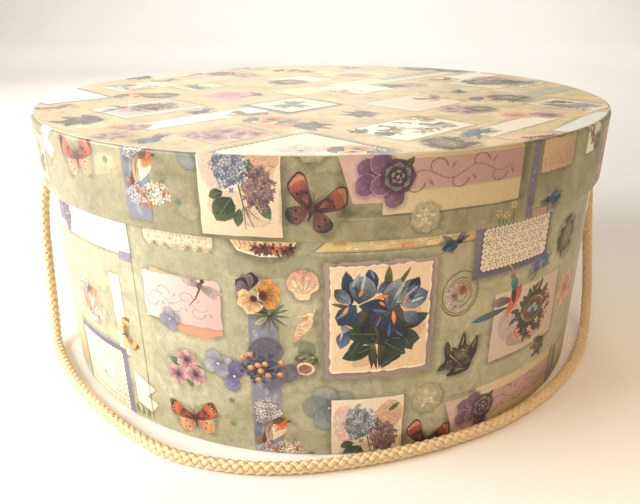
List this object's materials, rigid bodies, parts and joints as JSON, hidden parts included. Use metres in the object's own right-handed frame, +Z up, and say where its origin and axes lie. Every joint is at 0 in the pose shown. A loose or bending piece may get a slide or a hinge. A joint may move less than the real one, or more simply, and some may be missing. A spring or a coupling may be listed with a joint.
{
  "type": "round hat box",
  "caption": "Round paper-covered board box with a deep lift-off lid and a braided carrying cord through its sides.",
  "frame": {"origin": "centre of the underside of the box", "axes": "+Z up through the middle of the lid, cord holes on the X axis, the front with the hanging cord towards -Y"},
  "size_m": [0.33, 0.3115, 0.132],
  "materials": {
    "wall_print": "semi-gloss print of pasted scraps on a marbled green ground",
    "rim_print": "semi-gloss print of pasted scraps on a marbled green ground",
    "top_print": "semi-gloss print of pasted scraps on a cream ground",
    "base_paper": "matt",
    "lining": "matt",
    "greyboard": "matt, fibrous",
    "cord": "braided, slight sheen"
  },
  "bodies": {
    "box": {"wall_board": "greyboard", "base_board": "greyboard", "wall_wrap": "wall_print", "wall_lining": "lining", "base_paper": "base_paper", "base_lining": "lining", "cord": "cord", "cord_knot_left": "cord", "cord_knot_right": "cord"},
    "lid": {"lid_top_board": "greyboard", "lid_rim_board": "greyboard", "lid_top_paper": "top_print", "lid_rim_wrap": "rim_print", "lid_top_lining": "lining", "lid_rim_lining": "lining"}
  },
  "joints": [
    {"name": "lid_lift", "type": "slide", "parent": "box", "child": "lid", "axis": [0, 0, 1], "range_m": [0, 0.15]}
  ]
}
